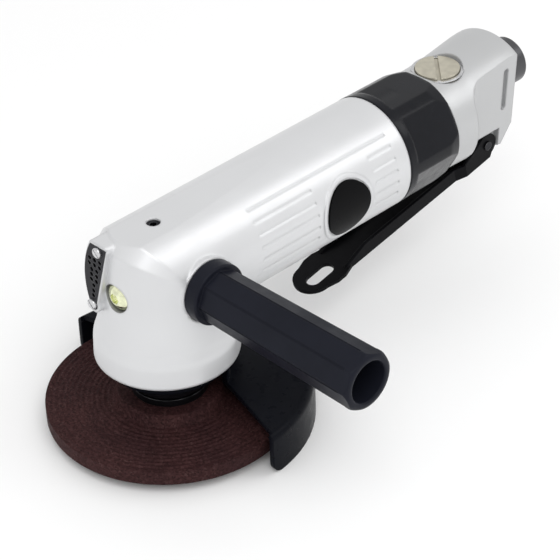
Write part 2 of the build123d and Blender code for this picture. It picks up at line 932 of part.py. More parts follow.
# Motor housing: gear head, barrel, handle boss and exhaust duct in one casting
gear_tip = cone_point(gear_pitch_radius, pinion_pitch_radius, gear_addendum, 1)
gear_tip_small = cone_point(gear_pitch_radius, pinion_pitch_radius, gear_addendum, small_end)
pinion_tip = cone_point(pinion_pitch_radius, gear_pitch_radius, gear_addendum, 1)
gear_room_radius = gear_tip[0] + gear_room
gear_room_top_z = motor_axis_z - gear_tip_small[1] + gear_room
pinion_room_radius = pinion_tip[0] + gear_room
pinion_room_x = pinion_nut_x - gear_room
foot_top_z = head_bottom_z + head_foot_height
neck_z = foot_top_z + head_neck_rise
barrel_top_z = motor_axis_z + barrel_radius
front_seat_x = -barrel_radius - front_bolt_proud + front_bolt_head
front_bolt_z = motor_axis_z - front_bolt_drop
front_counterbore = front_bolt_head_radius + front_bolt_ring
passage_back_x = cylinder_x + exhaust_hole_pitch * (exhaust_hole_count + 1)
passage_outer = barrel_bore_radius + passage_wall / 2
passage_inner = passage_outer - passage_width
line_angles = [line_top_angle - line_pitch * index for index in range(line_count)]
disc_z = motor_axis_z + disc_rise
disc_ring_inner = disc_radius + disc_ring_gap
disc_ring_outer = disc_ring_inner + disc_ring_width


def side_line(side, angle, start, end):
    """V-groove along the barrel at an angle above one of its sides, in the part that calls it."""
    turn = radians(angle)
    plane = Plane(
        origin=(start, 0, motor_axis_z), x_dir=(0, side * cos(turn), sin(turn)), z_dir=(1, 0, 0)
    )
    with BuildSketch(plane) as groove:
        with BuildLine():
            Polyline(
                (barrel_radius - line_depth, 0),
                (barrel_radius + line_depth, line_width),
                (barrel_radius + line_depth, -line_width),
                close=True,
            )
        make_face()
    extrude(groove.sketch, amount=end - start, mode=Mode.SUBTRACT)


with BuildPart() as housing:
    # Round head with a wide foot
    with BuildSketch(lengthwise()):
        with BuildLine():
            FilletPolyline(
                (0, head_bottom_z),
                (head_foot_radius, head_bottom_z),
                (head_foot_radius - head_foot_draft, foot_top_z),
                (head_neck_radius, neck_z),
                (barrel_radius, neck_z + head_neck_taper),
                (barrel_radius, head_top_z),
                (0, head_top_z),
                radius=[
                    0, head_edge_round, head_foot_round, head_neck_round, head_taper_round,
                    head_top_round, 0,
                ],
                close=True,
            )
        make_face()
    revolve(axis=Axis.Z)
    # The top of the head follows the round of the barrel
    with BuildSketch(across(-head_foot_radius)):
        with Locations((0, barrel_radius)):
            Rectangle(4 * barrel_radius, 2 * barrel_radius)
        Circle(barrel_radius, mode=Mode.SUBTRACT)
    extrude(amount=2 * head_foot_radius, mode=Mode.SUBTRACT)
    # Softer bend from the top of the barrel round to the front of the head
    with BuildSketch(Plane(origin=(0, 0, motor_axis_z), x_dir=(0, 1, 0), z_dir=(1, 0, 1))):
        with Locations((0, head_bend_reach)):
            Rectangle(4 * barrel_radius, 2 * head_bend_reach)
        Ellipse(head_bend_width, head_bend_reach, mode=Mode.SUBTRACT)
    extrude(amount=barrel_radius, both=True, mode=Mode.SUBTRACT)
    # Barrel, its rear thread and the side handle's boss
    with BuildSketch(across(0)):
        Circle(barrel_radius)
    extrude(amount=barrel_end_x)
    with BuildSketch(across(barrel_end_x)):
        Circle(barrel_thread_radius)
    extrude(amount=barrel_thread_length)
    with BuildSketch(sideways(0)):
        Circle(boss_radius)
    extrude(amount=boss_reach)
    # Exhaust duct
    with BuildSketch(across(-duct_reach)) as duct:
        make_face(grille_outline(duct_wall))
        duct_corner = (grille_top_right - duct_wall, grille_top + duct_wall)
        fillet(duct.vertices().sort_by_distance(duct_corner)[0], duct_corner_round)
    extrude(amount=duct_length)
    # Flat on top that runs out along the barrel
    with BuildSketch(lengthwise()):
        with BuildLine():
            Polyline(
                (-head_foot_radius, head_top_z),
                (0, head_top_z),
                (head_flat_run, barrel_top_z),
                (head_flat_run, barrel_top_z + barrel_radius),
                (-head_foot_radius, barrel_top_z + barrel_radius),
                close=True,
            )
        make_face()
    extrude(amount=barrel_radius, both=True, mode=Mode.SUBTRACT)
    # Lines and disc rings on both sides of the barrel
    for side in (-1, 1):
        for index, angle in enumerate(line_angles):
            if index == 0:
                side_line(side, angle, line_start, line_end)
            else:
                side_line(side, angle, line_start, line_gap_start)
                side_line(side, angle, line_gap_end, line_end)
    with BuildSketch(Plane(origin=(disc_x, 0, disc_z), x_dir=(1, 0, 0), z_dir=(0, -1, 0))):
        Circle(disc_ring_outer)
        Circle(disc_ring_inner, mode=Mode.SUBTRACT)
    disc_post = extrude(amount=2 * barrel_radius, mode=Mode.PRIVATE)
    disc_shell = ring(
        across(0), barrel_radius - line_depth, barrel_radius + disc_ring_height, barrel_end_x
    )
    add(disc_post & disc_shell)
    # Room for the bearing cap, the gears and the bearings
    with BuildSketch(upright(head_bottom_z)):
        Circle(cap_radius)
    extrude(amount=cap_top_z - head_bottom_z, mode=Mode.SUBTRACT)
    with BuildSketch(upright(cap_top_z)):
        Circle(gear_room_radius)
    extrude(amount=gear_room_top_z - cap_top_z, mode=Mode.SUBTRACT)
    with BuildSketch(upright(gear_room_top_z)):
        Circle(upper_bearing_radius + seat_play)
    extrude(amount=spindle_top_z - gear_room_top_z, mode=Mode.SUBTRACT)
    with BuildSketch(across(pinion_room_x)):
        Circle(pinion_room_radius)
    extrude(amount=front_bearing_x - bearing_lip - pinion_room_x, mode=Mode.SUBTRACT)
    with BuildSketch(across(pinion_room_x)):
        Circle(rotor_bearing_radius - bearing_lip_width)
    extrude(amount=front_bearing_x - pinion_room_x, mode=Mode.SUBTRACT)
    with BuildSketch(across(front_bearing_x)):
        Circle(rotor_bearing_radius + seat_play)
    extrude(amount=rotor_bearing_width, mode=Mode.SUBTRACT)
    with BuildSketch(across(front_plate_x)):
        Circle(barrel_bore_radius)
    extrude(amount=barrel_thread_end_x - front_plate_x, mode=Mode.SUBTRACT)
    # Exhaust passage from the cylinder past the gears to the grille
    with BuildSketch(upright(motor_axis_z + passage_low)):
        with BuildLine():
            Polyline(
                (duct_pocket_depth - duct_reach, grille_top_right + duct_rim + passage_wall / 2),
                (0, upper_bearing_radius + passage_wall),
                (pinion_nut_x + pinion_nut_height, passage_inner),
                (passage_back_x, passage_inner),
                (passage_back_x, passage_outer),
                (pinion_nut_x + pinion_nut_height, passage_outer),
                (0, passage_outer - passage_wall),
                (duct_pocket_depth - duct_reach, grille_bulge_left - duct_rim),
                close=True,
            )
        make_face()
    extrude(amount=passage_high - passage_low, mode=Mode.SUBTRACT)
    with BuildSketch(across(-duct_reach)):
        make_face(grille_outline())
    extrude(amount=grille_thickness, mode=Mode.SUBTRACT)
    with BuildSketch(across(-duct_reach)):
        make_face(grille_outline())
        offset(amount=-duct_rim)
        with Locations(*grille_screw_spots):
            Circle(grille_screw_head_radius, mode=Mode.SUBTRACT)
    extrude(amount=duct_pocket_depth, mode=Mode.SUBTRACT)
    with BuildSketch(across(-duct_reach)):
        with Locations(*grille_screw_spots):
            Circle(grille_screw_radius + seat_play)
    extrude(amount=grille_thickness + grille_screw_length, mode=Mode.SUBTRACT)
    # Holes for the front bolt, the grease plug and the handle bolt
    with BuildSketch(across(-head_foot_radius, front_bolt_z, front_bolt_shift)):
        Circle(front_counterbore)
    extrude(amount=front_seat_x + head_foot_radius, mode=Mode.SUBTRACT)
    with BuildSketch(across(front_seat_x, front_bolt_z, front_bolt_shift)):
        Circle(front_bolt_radius + seat_play)
    extrude(amount=front_bolt_length, mode=Mode.SUBTRACT)
    with BuildSketch(Plane(origin=(plug_x, 0, spindle_top_z), z_dir=(0, 0, 1))):
        Circle(plug_radius + seat_play)
    extrude(amount=head_roof, mode=Mode.SUBTRACT)
    with BuildSketch(sideways(-boss_reach)):
        Circle(boss_radius)
    extrude(amount=boss_spot_depth, mode=Mode.SUBTRACT)
    with BuildSketch(sideways(-boss_reach)):
        Circle(handle_bolt_radius + seat_play)
    extrude(amount=-boss_thread_depth, mode=Mode.SUBTRACT)
keep(housing.part, "motor_housing")

# Plain round disc on the handle side of the barrel
with BuildPart() as name_disc:
    with BuildSketch(Plane(origin=(disc_x, 0, disc_z), x_dir=(1, 0, 0), z_dir=(0, -1, 0))):
        Circle(disc_radius)
    extrude(amount=2 * barrel_radius)
    add(
        ring(across(0), barrel_radius + seat_play, barrel_radius + disc_thickness, rear_end_x),
        mode=Mode.INTERSECT,
    )
keep(name_disc.part, "side_disc")

# Grille, its screws and the muffler pad behind it
with BuildPart() as grille:
    with BuildSketch(across(-duct_reach)):
        make_face(grille_outline())
        offset(amount=-seat_play)
        for row in range(grille_rows):
            height = grille_row_start + row * grille_row_pitch
            share = (height - grille_foot_height) / (grille_top - grille_foot_height)
            right = grille_foot_right + share * (grille_top_right - grille_foot_right)
            span = grille_foot_left - right - 2 * (grille_edge + grille_hole_radius)
            count = 1 + int(span // grille_hole_pitch)
            first = (right + grille_foot_left - (count - 1) * grille_hole_pitch) / 2
            with Locations(*[(first + step * grille_hole_pitch, height) for step in range(count)]):
                Circle(grille_hole_radius, mode=Mode.SUBTRACT)
        with Locations(*grille_screw_spots):
            Circle(grille_screw_radius + seat_play, mode=Mode.SUBTRACT)
    extrude(amount=grille_thickness)
keep(grille.part, "exhaust_grille")

with BuildPart() as grille_screws:
    with BuildSketch(across(-duct_reach)):
        with Locations(*grille_screw_spots):
            Circle(grille_screw_head_radius)
    extrude(amount=-grille_screw_head_height)
    fillet(grille_screws.edges().group_by(Axis.X)[0], grille_screw_head_height / 2)
    with BuildSketch(across(-duct_reach - grille_screw_head_height)):
        with Locations(*grille_screw_spots):
            Rectangle(2 * grille_screw_head_radius, grille_screw_slot, rotation=grille_screw_slot_angle)
    extrude(amount=grille_screw_head_height / 2, mode=Mode.SUBTRACT)
    with BuildSketch(across(-duct_reach)):
        with Locations(*grille_screw_spots):
            Circle(grille_screw_radius)
    extrude(amount=grille_thickness + grille_screw_length)
keep(grille_screws.part, "grille_screws")

with BuildPart() as muffler:
    with BuildSketch(across(grille_thickness - duct_reach)):
        make_face(grille_outline())
        offset(amount=-duct_rim - seat_play)
        with Locations(*grille_screw_spots):
            Circle(grille_screw_head_radius + seat_play, mode=Mode.SUBTRACT)
    extrude(amount=muffler_thickness)
keep(muffler.part, "exhaust_muffler")

# Front bolt and grease plug
front_bolt_plane = across(front_seat_x, front_bolt_z, front_bolt_shift)
with BuildPart() as front_bolt:
    with BuildSketch(beside(front_bolt_plane)):
        with BuildLine():
            Polyline(
                (0, -front_bolt_head),
                (0, front_bolt_length),
                (front_bolt_radius, front_bolt_length),
                (front_bolt_radius, 0),
                (front_bolt_head_radius, 0),
                (front_bolt_head_radius, -front_bolt_head_edge),
            )
            TangentArc(
                (0, -front_bolt_head), (front_bolt_head_radius, -front_bolt_head_edge), tangent=(1, 0)
            )
        make_face()
    revolve(axis=Axis(front_bolt_plane.origin, front_bolt_plane.z_dir))
    with BuildSketch(front_bolt_plane.offset(-front_bolt_head)):
        RegularPolygon(front_bolt_socket_flats / 2, 6, major_radius=False)
    extrude(amount=front_bolt_socket_depth, mode=Mode.SUBTRACT)
keep(front_bolt.part, "front_bolt")

plug_top_z = head_top_z - plug_sink
with BuildPart() as grease_plug:
    with BuildSketch(Plane(origin=(plug_x, 0, plug_top_z), z_dir=(0, 0, 1))):
        Circle(plug_radius)
    extrude(amount=-plug_length)
    with BuildSketch(Plane(origin=(plug_x, 0, plug_top_z), z_dir=(0, 0, 1))):
        RegularPolygon(plug_socket_flats / 2, 6, major_radius=False)
    extrude(amount=-plug_socket_depth, mode=Mode.SUBTRACT)
keep(grease_plug.part, "grease_plug")

# Motor cylinder, end plates, pin and gasket
pin_x = cylinder_x - cylinder_pin_length / 2
motor_fill_radius = barrel_bore_radius - seat_play


def pin_hole():
    """Hole for the locating pin, in the part that calls it."""
    with BuildSketch(across(pin_x)) as hole:
        with Locations((0, cylinder_pin_circle)):
            Circle(cylinder_pin_radius + seat_play)
    extrude(hole.sketch, amount=cylinder_pin_length, mode=Mode.SUBTRACT)


with BuildPart() as cylinder:
    with BuildSketch(across(cylinder_x)):
        Circle(motor_fill_radius)
        with Locations((0, -cylinder_offset)):
            Circle(cylinder_bore_radius, mode=Mode.SUBTRACT)
    extrude(amount=cylinder_length)
    with BuildSketch(lengthwise()):
        for step in range(exhaust_hole_count):
            with Locations(
                (
                    cylinder_x + exhaust_hole_pitch * (step + 1),
                    motor_axis_z + (passage_low + passage_high) / 2,
                )
            ):
                Circle(exhaust_hole_radius)
    extrude(amount=-barrel_radius, mode=Mode.SUBTRACT)
    pin_hole()
keep(cylinder.part, "motor_cylinder")

with BuildPart() as front_plate:
    add(
        ring(
            across(front_plate_x),
            rotor_journal_radius + shaft_room,
            motor_fill_radius,
            front_plate_thickness,
        )
    )
    pin_hole()
keep(front_plate.part, "front_end_plate")

with BuildPart() as cylinder_pin:
    with BuildSketch(across(pin_x)):
        with Locations((0, cylinder_pin_circle)):
            Circle(cylinder_pin_radius)
    extrude(amount=cylinder_pin_length)
keep(cylinder_pin.part, "cylinder_pin")

with BuildPart() as rear_plate:
    with BuildSketch(across(rear_plate_x)):
        Circle(motor_fill_radius)
        Circle(rotor_journal_radius + shaft_room, mode=Mode.SUBTRACT)
        for angle in inlet_port_angles:
            with Locations(
                (inlet_port_circle * cos(radians(angle)), inlet_port_circle * sin(radians(angle)))
            ):
                Circle(inlet_port_radius, mode=Mode.SUBTRACT)
    extrude(amount=rear_plate_thickness)
    with BuildSketch(across(rear_bearing_x)):
        Circle(rotor_bearing_radius + seat_play)
    extrude(amount=rotor_bearing_width, mode=Mode.SUBTRACT)
keep(rear_plate.part, "rear_end_plate")
spigot_bore_radius = spigot_radius - spigot_wall
keep(ring(across(gasket_x), spigot_bore_radius, motor_fill_radius, gasket_thickness), "motor_gasket")

# Rotor and its vanes
rotor_start_x = cylinder_x + rotor_end_gap
rotor_end_x = rear_plate_x - rotor_end_gap
with BuildPart() as rotor:
    add(
        turned(
            across(0),
            [
                (0, pinion_nut_x),
                (rotor_thread_radius, pinion_nut_x),
                (rotor_thread_radius, pinion_small[1]),
                (rotor_nose_radius, pinion_small[1]),
                (rotor_nose_radius, front_bearing_x),
                (rotor_journal_radius, front_bearing_x),
                (rotor_journal_radius, rotor_start_x),
                (rotor_radius, rotor_start_x),
                (rotor_radius, rotor_end_x),
                (rotor_journal_radius, rotor_end_x),
                (rotor_journal_radius, gasket_x),
                (0, gasket_x),
            ],
        )
    )
    with BuildSketch(across(rotor_start_x)):
        with PolarLocations(rotor_radius - vane_height / 2, vane_count):
            Rectangle(vane_height, vane_thickness + 2 * vane_play)
        with PolarLocations(rotor_radius, vane_count):
            Rectangle(vane_thickness, vane_thickness + 2 * vane_play)
    extrude(amount=rotor_end_x - rotor_start_x, mode=Mode.SUBTRACT)
keep(rotor.part, "rotor")

with BuildPart() as vanes:
    with BuildSketch(across(rotor_start_x)):
        with PolarLocations(rotor_radius - vane_height / 2, vane_count):
            Rectangle(vane_height, vane_thickness)
    extrude(amount=rotor_end_x - rotor_start_x)
keep(vanes.part, "rotor_vanes")

# Coupling nut and the split ring that it pulls on
coupling_blank = turned(
    across(coupling_x),
    [
        (0, 0),
        (coupling_radius, 0),
        (coupling_radius, coupling_length - coupling_crown_length),
        (coupling_crown_radius, coupling_length),
        (0, coupling_length),
    ],
    [0, coupling_edge_round, coupling_crown_round, coupling_edge_round, 0],
)
with BuildPart() as coupling:
    add(coupling_blank)
    with BuildSketch(across(coupling_x + coupling_rim_length)):
        Circle(2 * coupling_radius)
        RegularPolygon(coupling_flats / 2, 6, major_radius=False, mode=Mode.SUBTRACT)
    extrude(amount=coupling_length, mode=Mode.SUBTRACT)
    with BuildSketch(across(coupling_x)):
        Circle(barrel_thread_radius + seat_play)
    extrude(amount=coupling_lip_x - coupling_x, mode=Mode.SUBTRACT)
    with BuildSketch(across(coupling_lip_x)):
        Circle(spigot_radius + coupling_lip_play)
    extrude(amount=coupling_end_x - coupling_lip_x, mode=Mode.SUBTRACT)
keep(coupling.part, "coupling_nut")
coupling_ring = ring(
    across(coupling_ring_x),
    spigot_radius - coupling_ring_depth,
    barrel_thread_radius - coupling_ring_play,
    coupling_ring_thickness,
)
keep(coupling_ring, "coupling_ring")

# Rear handle
pivot_plane = Plane(origin=(pivot_x, 0, pivot_z), x_dir=(1, 0, 0), z_dir=(0, -1, 0))
bush_top_z = valve_floor_z
bush_bottom_z = bush_top_z - bush_length


def panel_plane(side):
    """Plane across one flat side of the rear handle, with its axis up along that leaning side."""
    lean = radians(panel_draft)
    return Plane(
        origin=(0, side * panel_half_width, motor_axis_z + panel_low),
        x_dir=(1, 0, 0),
        z_dir=(0, side * sin(lean), cos(lean)),
    )


flare_lean = atan2(rear_radius - rear_neck_radius, rear_taper - rear_neck)
flare_room = rear_length - rear_taper - rear_edge_round
flare_round = min(rear_flare_round, flare_room / tan(flare_lean / 2))
with BuildPart() as rear_handle:
    add(
        turned(
            across(0),
            [
                (0, spigot_x),
                (spigot_radius, spigot_x),
                (spigot_radius, rear_x),
                (rear_front_radius, rear_x),
                (rear_neck_radius, rear_x + rear_neck),
                (rear_radius, rear_x + rear_taper),
                (rear_radius, rear_end_x),
                (0, rear_end_x),
            ],
            [0, 0, 0, 0, flare_round, flare_round, rear_edge_round, 0],
        )
    )
    # Flat sides at the back that lean out towards the top, each with a long dimple
    for side in (-1, 1):
        with BuildSketch(panel_plane(side)):
            with Locations((rear_end_x, side * rear_radius)):
                RectangleRounded(2 * (rear_length - panel_start), 2 * rear_radius, panel_corner)
        extrude(amount=2 * rear_radius, both=True, mode=Mode.SUBTRACT)
        with BuildSketch(beside(panel_plane(side))):
            with Locations((rear_x + dimple_x, (dimple_low + dimple_high) / 2 - panel_low)):
                SlotOverall(dimple_high - dimple_low, dimple_width, rotation=90)
        extrude(amount=side * dimple_depth, mode=Mode.SUBTRACT)
    # Bevel under the back, and room for the lever's ears
    with BuildSketch(lengthwise()):
        with BuildLine():
            Polyline(
                (rear_end_x, motor_axis_z + rear_bevel_high),
                (rear_end_x - rear_bevel_length, motor_axis_z + rear_bevel_low),
                (rear_end_x - rear_bevel_length, motor_axis_z - 2 * rear_radius),
                (rear_end_x, motor_axis_z - 2 * rear_radius),
                close=True,
            )
        make_face()
    extrude(amount=rear_radius, both=True, mode=Mode.SUBTRACT)
    with BuildSketch(across(rear_x + ear_room_start)):
        for side in (-1, 1):
            with Locations((side * (lug_half_width + rear_radius), ear_room_top - rear_radius)):
                Rectangle(2 * rear_radius, 2 * rear_radius)
    extrude(amount=ear_room_end_x - rear_x - ear_room_start, mode=Mode.SUBTRACT)
    # Air ways: spigot chamber, feed, valve chamber, inlet
    with BuildSketch(across(spigot_x)):
        Circle(spigot_bore_radius)
    extrude(amount=rear_x - rear_front_wall - spigot_x, mode=Mode.SUBTRACT)
    with BuildSketch(across(rear_x - rear_front_wall, feed_z)):
        Circle(feed_radius)
    extrude(amount=valve_x - rear_x + rear_front_wall, mode=Mode.SUBTRACT)
    with BuildSketch(over_valve(valve_floor_z)):
        Circle(valve_port_radius)
    extrude(amount=valve_seat_z - valve_floor_z, mode=Mode.SUBTRACT)
    with BuildSketch(over_valve(valve_seat_z)):
        Circle(valve_chamber_radius + running_fit)
    extrude(amount=regulator_seat_z - valve_seat_z, mode=Mode.SUBTRACT)
    with BuildSketch(over_valve(regulator_seat_z)):
        Circle(regulator_seat_radius)
    extrude(amount=rear_radius, mode=Mode.SUBTRACT)
    with BuildSketch(over_valve(regulator_flange_top_z + flat_gap)):
        Circle(regulator_seat_radius + regulator_ring_groove)
    extrude(amount=regulator_ring_height, mode=Mode.SUBTRACT)
    with BuildSketch(across(valve_x, inlet_axis_z)):
        Circle(inlet_passage_radius)
    extrude(amount=inlet_seat_x - valve_x, mode=Mode.SUBTRACT)
    with BuildSketch(across(inlet_seat_x, inlet_axis_z)):
        Circle(inlet_thread_radius + seat_play)
    extrude(amount=inlet_thread_depth, mode=Mode.SUBTRACT)
    # Plunger bush, lever pin and split ring groove
    with BuildSketch(over_valve(bush_top_z)):
        Circle(bush_radius + seat_play)
    extrude(amount=-rear_radius, mode=Mode.SUBTRACT)
    with BuildSketch(pivot_plane):
        Circle(lever_pin_radius)
    extrude(amount=rear_radius, both=True, mode=Mode.SUBTRACT)
    add(
        ring(
            across(coupling_ring_x), spigot_radius - coupling_ring_depth - seat_play,
            spigot_radius + seat_play, coupling_ring_thickness,
        ),
        mode=Mode.SUBTRACT,
    )
keep(rear_handle.part, "rear_handle")

# Inlet bushing, its seal and strainer
bore_end_x = inlet_mouth_x - inlet_bore_depth
throat_x = bore_end_x - inlet_throat_length
inlet_bushing = turned(
    across(0, inlet_axis_z),
    [
        (inlet_thread_radius, inlet_seat_x),
        (inlet_thread_radius, rear_end_x),
        (inlet_seal_inner, rear_end_x),
        (inlet_seal_inner, rear_end_x + inlet_seal_thickness),
        (inlet_seal_outer, rear_end_x + inlet_seal_thickness),
        (inlet_seal_outer, rear_end_x),
        (inlet_ring_radius, rear_end_x),
        (inlet_ring_radius, inlet_mouth_x - inlet_chamfer),
        (inlet_ring_radius - inlet_chamfer, inlet_mouth_x),
        (inlet_bore_radius, inlet_mouth_x),
        (inlet_bore_radius, bore_end_x),
        (inlet_throat_radius, bore_end_x),
        (inlet_throat_radius, throat_x),
        (strainer_radius + strainer_play, throat_x),
        (strainer_radius + strainer_play, inlet_seat_x),
    ],
)
keep(inlet_bushing, "inlet_bushing")
inlet_seal = ring(
    across(rear_end_x, inlet_axis_z),
    inlet_seal_inner + seat_play,
    inlet_seal_outer - seat_play,
    inlet_seal_thickness,
)
keep(inlet_seal, "inlet_seal")

with BuildPart() as strainer:
    add(
        turned(
            across(0, inlet_axis_z),
            [
                (0, inlet_seat_x),
                (strainer_radius, inlet_seat_x),
                (strainer_radius, throat_x),
                (strainer_radius - strainer_wall, throat_x),
                (strainer_radius - strainer_wall, inlet_seat_x + strainer_wall),
                (0, inlet_seat_x + strainer_wall),
            ],
        )
    )
    for row in range(strainer_rows):
        middle_x = inlet_seat_x + strainer_row_pitch * (row + 1)
        for step in range(strainer_hole_count // 2):
            turn = pi * step / (strainer_hole_count // 2)
            through = Plane(
                origin=(middle_x, 0, inlet_axis_z), x_dir=(1, 0, 0), z_dir=(0, cos(turn), sin(turn))
            )
            with BuildSketch(through):
                Circle(strainer_hole_radius)
            extrude(amount=strainer_radius, both=True, mode=Mode.SUBTRACT)
    with BuildSketch(across(inlet_seat_x, inlet_axis_z)):
        with PolarLocations(strainer_radius / 2, strainer_hole_count):
            Circle(strainer_hole_radius)
    extrude(amount=strainer_wall, mode=Mode.SUBTRACT)
keep(strainer.part, "inlet_strainer")

# Throttle plunger with its washer, guide bush and spring
plunger = turned(
    over_valve(0),
    [
        (0, plunger_bottom_z),
        (valve_stem_radius, plunger_bottom_z),
        (valve_stem_radius, valve_head_z),
        (valve_head_radius, valve_head_z),
        (valve_head_radius, valve_top_z),
        (valve_stem_radius, valve_top_z),
        (valve_stem_radius, valve_top_z + valve_nub_height),
        (0, valve_top_z + valve_nub_height),
    ],
)
keep(plunger, "throttle_plunger")
valve_washer = ring(
    over_valve(valve_washer_z), valve_stem_radius, valve_head_radius, valve_washer_height
)
keep(valve_washer, "valve_washer")
plunger_bush = ring(
    over_valve(bush_bottom_z), valve_stem_radius + running_fit, bush_radius, bush_length
)
keep(plunger_bush, "plunger_bush")

spring_low_z = valve_top_z + spring_wire_radius
spring_high_z = regulator_flange_z - spring_wire_radius
with BuildPart() as spring:
    with BuildLine() as coil:
        Helix(
            pitch=(spring_high_z - spring_low_z) / spring_turns,
            height=spring_high_z - spring_low_z,
            radius=spring_radius,
            center=(valve_x, 0, spring_low_z),
        )
    with BuildSketch(Plane(origin=coil.line @ 0, z_dir=coil.line % 0)):
        Circle(spring_wire_radius)
    sweep(is_frenet=True)
keep(spring.part, "valve_spring")

# Air regulator with its seal and retaining ring
sleeve_bottom_z = valve_seat_z + regulator_skirt
seal_top_z = regulator_flange_z - regulator_seal_drop
seal_bottom_z = seal_top_z - regulator_seal_height
seal_inner = valve_chamber_radius - regulator_seal_depth
with BuildPart() as regulator:
    add(
        turned(
            over_valve(0),
            [
                (0, regulator_flange_z),
                (regulator_bore_radius, regulator_flange_z),
                (regulator_bore_radius, sleeve_bottom_z),
                (valve_chamber_radius, sleeve_bottom_z),
                (valve_chamber_radius, seal_bottom_z),
                (seal_inner, seal_bottom_z),
                (seal_inner, seal_top_z),
                (valve_chamber_radius, seal_top_z),
                (valve_chamber_radius, regulator_flange_z),
                (regulator_flange_radius, regulator_flange_z),
                (regulator_flange_radius, regulator_flange_top_z),
                (regulator_boss_radius, regulator_flange_top_z),
                (regulator_boss_radius, regulator_top_z),
                (0, regulator_top_z),
            ],
        )
    )
    with BuildSketch(over_valve(regulator_top_z)):
        Rectangle(2 * regulator_boss_radius, regulator_slot_width, rotation=regulator_slot_angle)
    extrude(amount=-regulator_slot_depth, mode=Mode.SUBTRACT)
    with BuildSketch(across(valve_x, inlet_axis_z)):
        Circle(regulator_port_radius)
    extrude(amount=valve_chamber_radius, mode=Mode.SUBTRACT)
keep(regulator.part, "air_regulator")
regulator_seal = ring(
    over_valve(seal_bottom_z), seal_inner, valve_chamber_radius, regulator_seal_height
)
keep(regulator_seal, "regulator_seal")
regulator_ring = ring(
    over_valve(regulator_flange_top_z + flat_gap),
    regulator_boss_radius + turn_gap,
    regulator_seat_radius + regulator_ring_groove - seat_play,
    regulator_ring_height,
)
keep(regulator_ring, "regulator_ring")

# Throttle lever, a bent sheet channel, and its pin
lever_plane = Plane(
    origin=(lever_x, 0, lever_z), x_dir=(cos(slope), 0, sin(slope)), z_dir=(-sin(slope), 0, cos(slope))
)
lever_side = Plane(
    origin=(lever_x, 0, lever_z), x_dir=(cos(slope), 0, sin(slope)), z_dir=(0, -1, 0)
)
lever_end = lever_reach + lever_sheet / 2


def both_edges(points):
    """Outline through points along one edge and back along their mirror images."""
    return points + [(along, -off) for along, off in reversed(points)]


flange_outer = [
    (lever_flange_start, lever_neck_half_width),
    (lever_mid_end, lever_mid_half_width),
    (lever_ear_start, lever_ear_half_width),
]
flange_inner = [(along, off - lever_sheet) for along, off in flange_outer]
with BuildPart() as lever:
    # Flat bottom with a round tip and a pair of small wings
    with BuildSketch(lever_plane):
        Circle(lever_tip_radius)
        with BuildLine():
            Polyline(
                *both_edges(
                    [
                        (0, lever_tip_radius),
                        (lever_bump_start, lever_bump_half_width),
                        (lever_bump_end, lever_bump_half_width),
                        (lever_neck_end, lever_neck_half_width),
                        (lever_mid_end, lever_mid_half_width),
                        (lever_ear_start, lever_ear_half_width),
                        (lever_end, lever_ear_half_width),
                    ]
                ),
                close=True,
            )
        make_face()
        with Locations(((lever_slot_start + lever_slot_end) / 2, lever_slot_shift)):
            SlotOverall(lever_slot_end - lever_slot_start, lever_slot_width, mode=Mode.SUBTRACT)
    extrude(amount=lever_sheet)
    # Turned-up sides
    with BuildSketch(lever_plane):
        with BuildLine():
            Polyline(*both_edges(flange_outer), close=True)
        make_face()
        with BuildLine():
            Polyline(*both_edges(flange_inner), close=True)
        make_face(mode=Mode.SUBTRACT)
    extrude(amount=lever_flange_height)
    with BuildSketch(lever_side):
        with BuildLine():
            Polyline(
                (lever_flange_start - lever_sheet, lever_sheet),
                (lever_flange_start + lever_flange_ramp, lever_flange_height),
                (lever_flange_start - lever_sheet, lever_flange_height),
                close=True,
            )
        make_face()
    extrude(amount=lever_ear_half_width, both=True, mode=Mode.SUBTRACT)
    # Ears round the pivot
    for side in (-1, 1):
        with BuildSketch(lever_side.offset(side * lever_ear_half_width)):
            with BuildLine():
                Polyline(
                    (lever_ear_start, 0),
                    (lever_end, 0),
                    (lever_reach + lever_ear_radius, lever_drop),
                    (lever_reach, lever_drop + lever_ear_radius),
                    (lever_ear_start, lever_ear_rise),
                    close=True,
                )
            make_face()
            with Locations((lever_reach, lever_drop)):
                Circle(lever_ear_radius)
        extrude(amount=-side * lever_sheet)
    with BuildSketch(lever_side):
        with Locations((lever_reach, lever_drop)):
            Circle(lever_pin_radius + running_fit)
    extrude(amount=lever_ear_half_width, both=True, mode=Mode.SUBTRACT)
keep(lever.part, "throttle_lever")

with BuildPart() as lever_pin:
    with BuildSketch(pivot_plane):
        Circle(lever_pin_radius)
    extrude(amount=lever_ear_half_width + lever_pin_overhang, both=True)
keep(lever_pin.part, "lever_pin")

# Side handle and its bolt
grip_plane = sideways(-boss_reach)
grip = turned(
    grip_plane,
    [
        (handle_bolt_radius + handle_bolt_play, 0),
        (grip_ring_radius, 0),
        (grip_ring_radius, grip_ring_length),
        (grip_root_radius, grip_ring_length),
        (grip_end_radius, grip_length),
        (grip_bore_radius, grip_length),
        (grip_bore_radius, grip_length - grip_bore_depth),
        (handle_bolt_radius + handle_bolt_play, grip_length - grip_bore_depth),
    ],
    [0, grip_edge_round, grip_edge_round, 0, grip_end_round, grip_edge_round, 0, 0],
)
flat_share = cos(pi / grip_sides)
groove_end = grip_length - grip_groove_end
groove_end_radius = grip_end_radius - (grip_end_radius - grip_root_radius) * grip_groove_end / (
    grip_length - grip_ring_length
)


